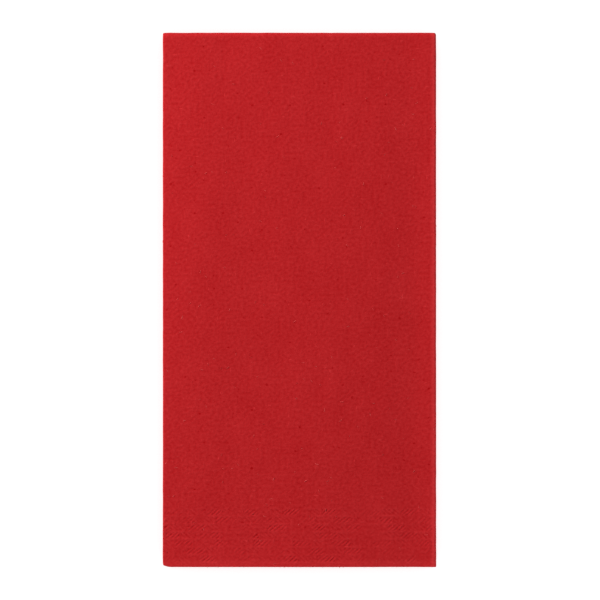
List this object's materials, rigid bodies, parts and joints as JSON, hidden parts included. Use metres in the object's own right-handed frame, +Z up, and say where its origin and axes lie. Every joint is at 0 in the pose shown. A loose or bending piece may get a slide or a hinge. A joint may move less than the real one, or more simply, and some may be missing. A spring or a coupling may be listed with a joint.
{
  "type": "folded paper napkin",
  "caption": "Large plain paper napkin, folded lengthwise twice and once across into a flat oblong, with an embossed border along its open end.",
  "frame": {"origin": "under the middle of the folded napkin, on the surface that it lies on", "axes": "+Z up from the surface, +Y from the open end with the cut edges to the cross fold, +X across the napkin to the side with the nested folds"},
  "size_m": [0.102, 0.2, 0.0105],
  "materials": {
    "tissue": "deep red soft tissue, matt, with a fine crepe grain and an embossed border of short slanting dashes"
  },
  "bodies": {
    "root": {"napkin": "tissue"}
  },
  "joints": []
}
